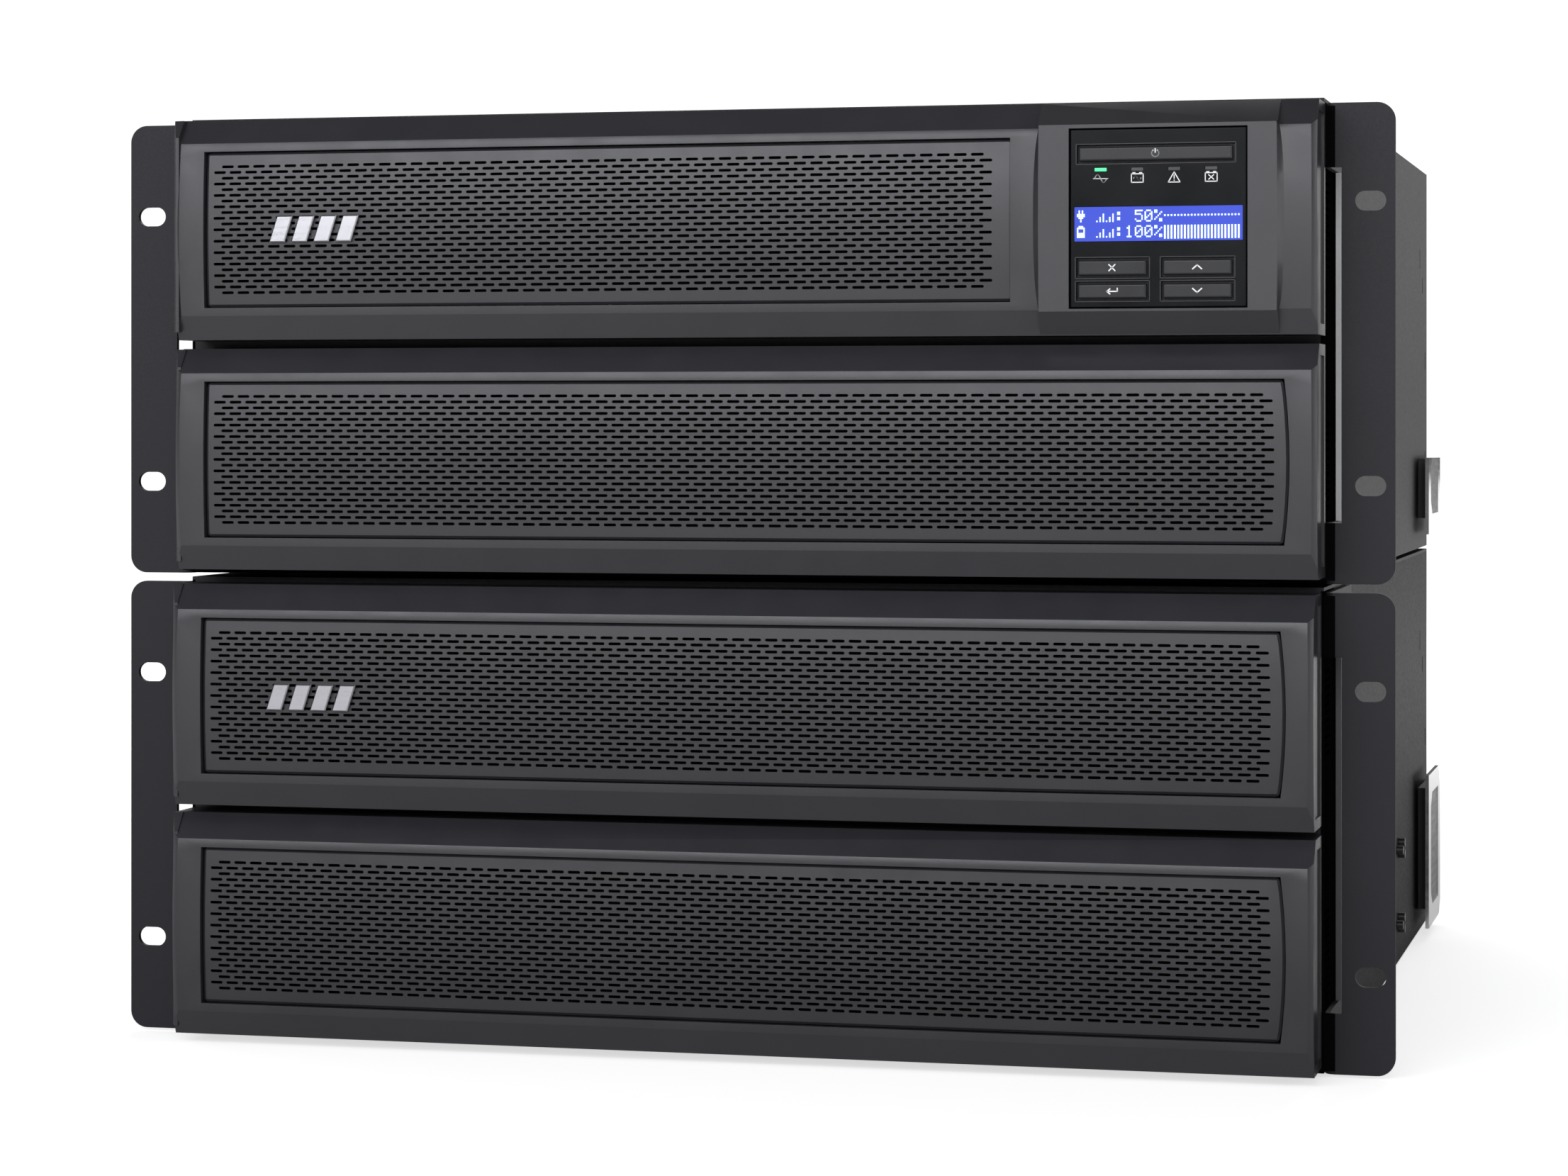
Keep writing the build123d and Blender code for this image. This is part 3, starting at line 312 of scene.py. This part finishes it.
def perforated(node, body, short):
    """Grille insert with real slots: a crowned plate with a rounded rim, in place of the CAD plate."""
    low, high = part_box(node)
    slack = Vector((GROW, 0, GROW))
    low, high = low - slack, high + slack
    bulge = 0.0 if short else 2.0 * MM
    right = high.x - bulge
    middle = (low.z + high.z) / 2
    half = (high.z - low.z) / 2
    corner = 1.6 * MM

    def bow(z):
        return bulge * max(0.0, 1 - ((z - middle) / half) ** 2)

    outline = arc(low.x + corner, low.z + corner, corner, 180, 270, 4)
    outline += arc(right - corner, low.z + corner, corner, 270, 360, 4)
    if bulge:
        outline += [(right + bow(low.z + (high.z - low.z) * i / 12), low.z + (high.z - low.z) * i / 12)
                    for i in range(1, 12)]
    outline += arc(right - corner, high.z - corner, corner, 0, 90, 4)
    outline += arc(low.x + corner, high.z - corner, corner, 90, 180, 4)
    outline = divided(outline, 4 * MM)
    loops = [outline]
    loops.append([(x + (RIM if x < low.x + half else -RIM if x > right - half else 0.0),
                   min(max(z, low.z + RIM), high.z - RIM)) for x, z in outline])
    top = low.z + GROW + TOP_ROW
    for row in range(ROWS):
        z = top - row * ROW_PITCH
        even = row % 2 == 0
        count = (47 if even else 48) if short else (63 if even else 64)
        start = low.x + GROW + FIRST_SLOT + (COLUMN_PITCH / 2 if even else 0.0)
        for column in range(count):
            x = start + column * COLUMN_PITCH
            near = max(0.0, 1 - (right - x) / (60 * MM))
            loops.append(slot_loop(x + bow(z) * 0.8 * near * near, z))
    verts = []
    rings = []
    for loop in loops:
        rings.append(list(range(len(verts), len(verts) + len(loop))))
        verts += [Vector(p) for p in loop]
    found = delaunay_2d_cdt(verts, [], [rings[0]] + rings[2:], 1, 1e-7)
    flat_verts = found[0]
    triangles = [t for t, source in zip(found[2], found[5]) if source == [0]]

    def depth(x, z):
        """Crown of the plate, with a rounded rim that drops to the seat."""
        rise = CROWN * (1 - ((z - middle) / half) ** 2)
        edge = min(x - low.x, z - low.z, high.z - z, right + bow(z) - x)
        drop = 0.6 * MM * max(0.0, 1 - edge / RIM)
        return low.y + CROWN - rise + drop

    mesh = bpy.data.meshes.new(node + "_perforated")
    mesh.from_pydata([(v.x, depth(v.x, v.y), v.y) for v in flat_verts], [], [tuple(t) for t in triangles])
    work = bmesh.new()
    work.from_mesh(mesh)
    bmesh.ops.recalc_face_normals(work, faces=work.faces)
    if sum(f.normal.y * f.calc_area() for f in work.faces) > 0:
        bmesh.ops.reverse_faces(work, faces=work.faces)
    work.to_mesh(mesh)
    work.free()
    mesh.materials.append(look["grille_black"])
    mesh.polygons.foreach_set("use_smooth", [True] * len(mesh.polygons))
    mesh.set_sharp_from_angle(angle=math.radians(20))
    obj = bpy.data.objects.new(node + "_perforated", mesh)
    scene.collection.objects.link(obj)
    thick = obj.modifiers.new("thick", "SOLIDIFY")
    thick.thickness = PLATE
    thick.offset = -1.0
    crease = obj.modifiers.new("crease", "EDGE_SPLIT")
    crease.split_angle = math.radians(35)
    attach(obj, body)
    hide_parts(node)
    return obj


def painted_shade_backing(node, body):
    """Near-black panel a little behind the slots: painted shade that hides the hollow of the bezel."""
    low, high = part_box(node)
    panel = Flat()
    inset = 2.5 * MM
    panel.plate([(low.x + inset, low.z + inset), (high.x - inset, low.z + inset),
                 (high.x - inset, high.z - inset), (low.x + inset, high.z - inset)], low.y + 3.5 * MM, 0.3 * MM)
    return panel.build(node + "_backing", painted_shade_coat, body)


grilles = {"ups_grille_upper": ("ups_bezel_upper", True), "ups_grille_lower": ("ups_bezel_lower", False),
           "pack_grille_upper": ("pack_bezel_upper", False), "pack_grille_lower": ("pack_bezel_lower", False)}
for node, (body, short) in grilles.items():
    perforated(node, body, short)
    painted_shade_backing(node, body)

for name in nodes:
    if "bezel" in name:
        soften(name, 0.35)
    elif "_ear_" in name or name in ("display_fascia", "display_housing"):
        soften(name, 0.2)

# ---------------------------------------------------------------- display
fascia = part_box("display_fascia")
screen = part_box("display_screen")
DIGITS = {
    "0": "01110 10001 10011 10101 11001 10001 01110",
    "1": "00100 01100 00100 00100 00100 00100 01110",
    "5": "11111 10000 11110 00001 00001 10001 01110",
    "%": "11000 11001 00010 00100 01000 10011 00011",
    "plug": "01010 01010 11111 11111 01110 00100 00100",
    "cell": "01110 11111 10001 10001 11111 11111 11111",
    ":": "00000 01100 01100 00000 01100 01100 00000",
    "step": "00000 00000 00001 00001 00101 00101 10101",
    " ": "00000 00000 00000 00000 00000 00000 00000",
}
CELL = 3.45 * MM
DOT = 0.575 * MM
DOT_TALL = 0.61 * MM


def glyphs():
    """Dot-matrix signs and bars on the screen."""
    dots = Flat()
    y = screen[0].y - 0.04 * MM
    left = screen[0].x + 0.9 * MM
    lines = ((["plug", " ", "step", "step", ":", " ", "5", "0", "%"], 11.0),
             (["cell", " ", "step", "step", ":", "1", "0", "0", "%"], 5.5))
    for text, top in lines:
        for place, sign in enumerate(text):
            for row, bits in enumerate(DIGITS[sign].split()):
                for column, bit in enumerate(bits):
                    if bit == "1":
                        x = left + place * CELL + column * DOT
                        z = screen[0].z + top * MM - row * DOT_TALL
                        dots.plate([(x, z - DOT_TALL * 0.86), (x + DOT * 0.86, z - DOT_TALL * 0.86),
                                    (x + DOT * 0.86, z), (x, z)], y, 0.03 * MM)
    start = left + 9 * CELL
    count = 23
    pitch = (screen[1].x - 0.5 * MM - start) / count
    for i in range(count):
        x = start + i * pitch
        full = screen[0].z + 0.7 * MM
        dots.plate([(x, full), (x + pitch * 0.5, full), (x + pitch * 0.5, full + 4.8 * MM), (x, full + 4.8 * MM)],
                   y, 0.03 * MM)
        mid = screen[0].z + 8.7 * MM
        dots.plate([(x, mid), (x + pitch * 0.5, mid), (x + pitch * 0.5, mid + 0.6 * MM), (x, mid + 0.6 * MM)],
                   y, 0.03 * MM)
    return dots.build("screen_signs", lcd_white, "display_module")


glyphs()


LAMP_SIGN_HEIGHT = 45.7 * MM
FIRST_LAMP = 10.9 * MM
LAMP_PITCH = 13.1 * MM


def lamp_icons():
    """Printed signs under the lamps: wave, cell with wave, warning, cell with cross."""
    ink = Flat()
    y = fascia[0].y - 0.03 * MM
    depth = 0.02 * MM
    line = 0.32 * MM
    z = fascia[0].z + LAMP_SIGN_HEIGHT
    xs = [fascia[0].x + FIRST_LAMP + i * LAMP_PITCH for i in range(4)]

    def wave(cx, cz, size):
        return [(cx + size * (t / 12 - 1), cz + size * 0.62 * math.sin(math.pi * t / 12)) for t in range(25)]

    ink.stroke(wave(xs[0], z, 2.2 * MM), line, y, depth)
    ink.stroke([(xs[0] - 2.6 * MM, z), (xs[0] + 2.6 * MM, z)], line * 0.7, y, depth)
    for x in (xs[1], xs[3]):
        w, h = 2.1 * MM, 1.5 * MM
        ink.stroke([(x - w, z - h), (x + w, z - h), (x + w, z + h), (x - w, z + h)], line, y, depth, closed=True)
        for sign in (-1, 1):
            ink.stroke([(x + sign * 1.2 * MM - 0.45 * MM, z + h + 0.4 * MM),
                        (x + sign * 1.2 * MM + 0.45 * MM, z + h + 0.4 * MM)], line, y, depth)
    ink.stroke(wave(xs[1], z, 1.3 * MM), line * 0.9, y, depth)
    for sign in (-1, 1):
        ink.stroke([(xs[3] - 0.9 * MM, z - sign * 0.8 * MM), (xs[3] + 0.9 * MM, z + sign * 0.8 * MM)],
                   line, y, depth)
    x = xs[2]
    ink.stroke([(x - 2.1 * MM, z - 1.6 * MM), (x + 2.1 * MM, z - 1.6 * MM), (x, z + 2.0 * MM)], line, y, depth,
               closed=True)
    ink.stroke([(x, z - 0.3 * MM), (x, z + 0.9 * MM)], line, y, depth)
    ink.stroke([(x, z - 1.0 * MM), (x, z - 0.9 * MM)], line, y, depth)
    ink.build("lamp_icons", white_ink, "display_module")


lamp_icons()
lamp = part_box("display_lamps")
lit = Flat()
lit.plate([(lamp[0].x, lamp[0].z), (lamp[0].x + 4.2 * MM, lamp[0].z), (lamp[0].x + 4.2 * MM, lamp[1].z),
           (lamp[0].x, lamp[1].z)], lamp[0].y - 0.05 * MM, 0.04 * MM)
lit.build("lamp_lit", green_light, "display_module")


def key_sign(node, draw):
    low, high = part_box(node)
    ink = Flat()
    draw(ink, (low.x + high.x) / 2, (low.z + high.z) / 2, low.y - 0.03 * MM, 0.02 * MM)
    ink.build(node + "_sign", white_ink, node)


def power_sign(ink, x, z, y, depth):
    ink.stroke(arc(x, z, 1.25 * MM, 125, 415, 20), 0.35 * MM, y, depth)
    ink.stroke([(x, z + 0.2 * MM), (x, z + 1.6 * MM)], 0.35 * MM, y, depth)


def chevron(up):
    def draw(ink, x, z, y, depth):
        s = 0.7 * MM * up
        ink.stroke([(x - 1.6 * MM, z - s), (x, z + s), (x + 1.6 * MM, z - s)], 0.45 * MM, y, depth)
    return draw


def enter_sign(ink, x, z, y, depth):
    ink.stroke([(x + 1.9 * MM, z + 1.0 * MM), (x + 1.9 * MM, z - 0.1 * MM), (x - 1.7 * MM, z - 0.1 * MM)],
               0.42 * MM, y, depth)
    ink.stroke([(x - 0.7 * MM, z + 0.8 * MM), (x - 1.9 * MM, z - 0.1 * MM), (x - 0.7 * MM, z - 1.0 * MM)],
               0.42 * MM, y, depth)


def back_sign(ink, x, z, y, depth):
    for sign in (-1, 1):
        ink.stroke([(x - 1.1 * MM, z - sign * 1.1 * MM), (x + 1.1 * MM, z + sign * 1.1 * MM)], 0.42 * MM, y, depth)


def key_surrounds():
    """Fine raised line around the opening of each key."""
    line = Flat()
    for node in ("power_button", "key_back", "key_up", "key_enter", "key_down"):
        low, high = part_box(node)
        x0, x1, z0, z1 = low.x + 0.15 * MM, high.x - 0.15 * MM, low.z + 0.15 * MM, high.z - 0.15 * MM
        line.stroke([(x0, z0), (x1, z0), (x1, z1), (x0, z1)], 0.22 * MM, fascia[0].y - 0.05 * MM, 0.06 * MM,
                    closed=True)
    line.build("key_surrounds", look["bezel_plastic"], "display_module")


key_surrounds()
key_sign("power_button", power_sign)
key_sign("key_up", chevron(1))
key_sign("key_down", chevron(-1))
key_sign("key_enter", enter_sign)
key_sign("key_back", back_sign)


# ---------------------------------------------------------------- details of the rack ears
def ear_details():
    """Bare cut edge inside each air window, darkened on the pack as painted shade, and near-black painted shade on
    the bend beside the bezels.
    """
    for unit, bright in (("ups", cut_steel), ("pack", cut_steel_painted_shade)):
        strip = Flat()
        # bend: near-black plates of painted shade beside the bezels and beside the cut edge
        bend = Flat()
        z0, z1 = base[unit] + 21.6 * MM, base[unit] + 148.4 * MM
        for side in (-1, 1):
            for plates, near, far in ((strip, 216.9, 218.9), (bend, 216.0, 216.85)):
                x0, x1 = sorted((side * near * MM, side * far * MM))
                plates.plate([(x0, z0), (x1, z0), (x1, z1), (x0, z1)], ear_y + 31.9 * MM, 0.08 * MM)
            x0, x1 = sorted((side * 216.0 * MM, side * 220.0 * MM))
            for low, high in ((base[unit] + 1.0 * MM, z0), (z1, base[unit] + 170.4 * MM)):
                bend.plate([(x0, low), (x1, low), (x1, high), (x0, high)], ear_y - 0.1 * MM, 0.1 * MM)
        strip.build(unit + "_cut_edges", bright, "enclosures")
        bend.build(unit + "_bend_shade", painted_shade_coat, "enclosures")


ear_details()


CHEEK = 2.4 * MM             # how far the swept left end reaches past the CAD bezel


def bezel_cheeks():
    """Swept left end of each bezel: a wedge that grows towards the back, cut away along the top chamfer."""
    for node in ("ups_bezel_upper", "ups_bezel_lower", "pack_bezel_upper", "pack_bezel_lower"):
        low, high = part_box(node)
        front, back = low.y, ear_y - 0.3 * MM
        inner = low.x + 1.5 * MM
        rings = []
        for z, start in ((low.z + 3.0 * MM, 3.0), (low.z + 76.0 * MM, 3.0), (high.z - 0.2 * MM, 8.2)):
            lead = front + (start - 0.6) * MM
            rings.append([(inner, lead, z), (low.x + 0.27 * MM, lead, z),
                          (low.x - CHEEK, front + max(start, 7.5) * MM, z), (low.x - CHEEK, back, z),
                          (inner, back, z)])
        verts = [v for ring in rings for v in ring]
        size = len(rings[0])
        faces = [tuple(range(size)), tuple(reversed(range(2 * size, 3 * size)))]
        for level in range(2):
            for i in range(size):
                j = (i + 1) % size
                a, b = level * size, (level + 1) * size
                faces.append((a + i, a + j, b + j, b + i))
        piece(node + "_cheek", verts, faces, look["bezel_plastic"], node)


bezel_cheeks()


def grip_inlays():
    """Dull plate in the recess of each bright grip plate."""
    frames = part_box("grip_frames")
    front, back = frames[0].y, frames[1].y
    verts = []
    faces = []
    for low, high, ceiling in ((base["ups"] + 6.8 * MM, base["ups"] + 41.0 * MM, base["ups"] + 41.0 * MM),
                               (base["pack"] + 3.3 * MM, base["pack"] + 72.5 * MM, base["pack"] + 63.5 * MM)):
        outline = [(front + 12 * MM, low + 15 * MM), (front + 20 * MM, low + 9 * MM), (back - 12 * MM, low + 9 * MM),
                   (back - 12 * MM, ceiling), (front + 20 * MM, ceiling), (front + 12 * MM, ceiling - 6 * MM)]
        for side in (-1, 1):
            first = len(verts)
            for depth in (0.72, 0.5):
                verts += [(side * (frames[1].x - depth * MM), y, z) for y, z in outline]
            count = len(outline)
            faces += [tuple(range(first, first + count)),
                      tuple(reversed(range(first + count, first + 2 * count)))]
            faces += [(first + i, first + (i + 1) % count, first + count + (i + 1) % count, first + count + i)
                      for i in range(count)]
    piece("grip_inlays", verts, faces, grip_dull, "enclosures")


grip_inlays()


# ---------------------------------------------------------------- floor, lights, camera
def backdrop():
    size = 14.0
    mesh = bpy.data.meshes.new("floor")
    mesh.from_pydata([(-size, -size, 0), (size, -size, 0), (size, size, 0), (-size, size, 0)], [], [(0, 1, 2, 3)])
    mesh.materials.append(floor_paint)
    obj = bpy.data.objects.new("floor", mesh)
    scene.collection.objects.link(obj)


backdrop()
# The floor's glow grows with distance, apart for what the camera sees (reach) and for what lights the
# object (bounce), so that the pale ground has no horizon line.
paint = floor_paint.node_tree
seen = paint.nodes.new("ShaderNodeLightPath")
where = paint.nodes.new("ShaderNodeTexCoord")
span = paint.nodes.new("ShaderNodeVectorMath")
span.operation = "LENGTH"
paint.links.new(where.outputs["Object"], span.inputs[0])
reach = paint.nodes.new("ShaderNodeMapRange")
reach.inputs["From Min"].default_value = 0.5
reach.inputs["From Max"].default_value = 1.6
reach.inputs["To Min"].default_value = 0.66
reach.inputs["To Max"].default_value = 1.1
paint.links.new(span.outputs["Value"], reach.inputs["Value"])
glow = paint.nodes.new("ShaderNodeMapRange")
bounce = paint.nodes.new("ShaderNodeMapRange")
bounce.inputs["From Min"].default_value = 0.55
bounce.inputs["From Max"].default_value = 2.2
bounce.inputs["To Min"].default_value = 0.1
bounce.inputs["To Max"].default_value = 1.0
paint.links.new(span.outputs["Value"], bounce.inputs["Value"])
paint.links.new(bounce.outputs["Result"], glow.inputs["To Min"])
paint.links.new(seen.outputs["Is Camera Ray"], glow.inputs["Value"])
paint.links.new(reach.outputs["Result"], glow.inputs["To Max"])
paint.links.new(glow.outputs["Result"], paint.nodes["Principled BSDF"].inputs["Emission Strength"])


def panel_light(name, place, target, width, height, power, color=(1, 1, 1)):
    data = bpy.data.lights.new(name, "AREA")
    data.shape = "RECTANGLE"
    data.size = width
    data.size_y = height
    data.energy = power
    data.color = color
    obj = bpy.data.objects.new(name, data)
    obj.location = place
    obj.rotation_euler = (Vector(target) - Vector(place)).to_track_quat("-Z", "Y").to_euler()
    scene.collection.objects.link(obj)


panel_light("front_softbox", (-0.3, -2.6, 1.2), (0, -0.2, 0.3), 3.2, 1.3, 65, (0.955, 0.96, 1.0))
panel_light("right_softbox", (2.3, -0.9, 0.8), (0.2, 0, 0.25), 1.0, 1.5, 12)
panel_light("back_panel", (1.2, 3.2, 1.0), (0.2, 0, 0.2), 2.0, 1.4, 7)
panel_light("back_softbox", (-0.3, 2.4, 2.0), (0, 0.1, 0.2), 2.4, 1.2, 40)
panel_light("left_fill", (-2.4, 0.6, 1.1), (0, 0.1, 0.2), 1.4, 1.2, 9)

world = bpy.data.worlds.new("studio")
scene.world = world
world.use_nodes = True
tree = world.node_tree
shade = tree.nodes["Background"]
shade.inputs["Color"].default_value = (1, 1, 1, 1)
rays = tree.nodes.new("ShaderNodeLightPath")
level = tree.nodes.new("ShaderNodeMapRange")
level.inputs["To Min"].default_value = 0.12      # what the object sees
level.inputs["To Max"].default_value = 1.1       # what the camera sees behind it
tree.links.new(rays.outputs["Is Camera Ray"], level.inputs["Value"])
tree.links.new(level.outputs["Result"], shade.inputs["Strength"])
scene.view_settings.view_transform = "Standard"

camera_data = bpy.data.cameras.new("camera")
camera_data.lens = 89.90
camera_data.sensor_width = 36.0
camera_data.shift_y = -0.10572
camera_data.clip_end = 60.0
camera = bpy.data.objects.new("camera", camera_data)
camera.location = (0.365419, ear_y - 1.401979, 0.233908)
camera.rotation_euler = (math.radians(90), 0, math.radians(13.935))
scene.collection.objects.link(camera)
scene.camera = camera
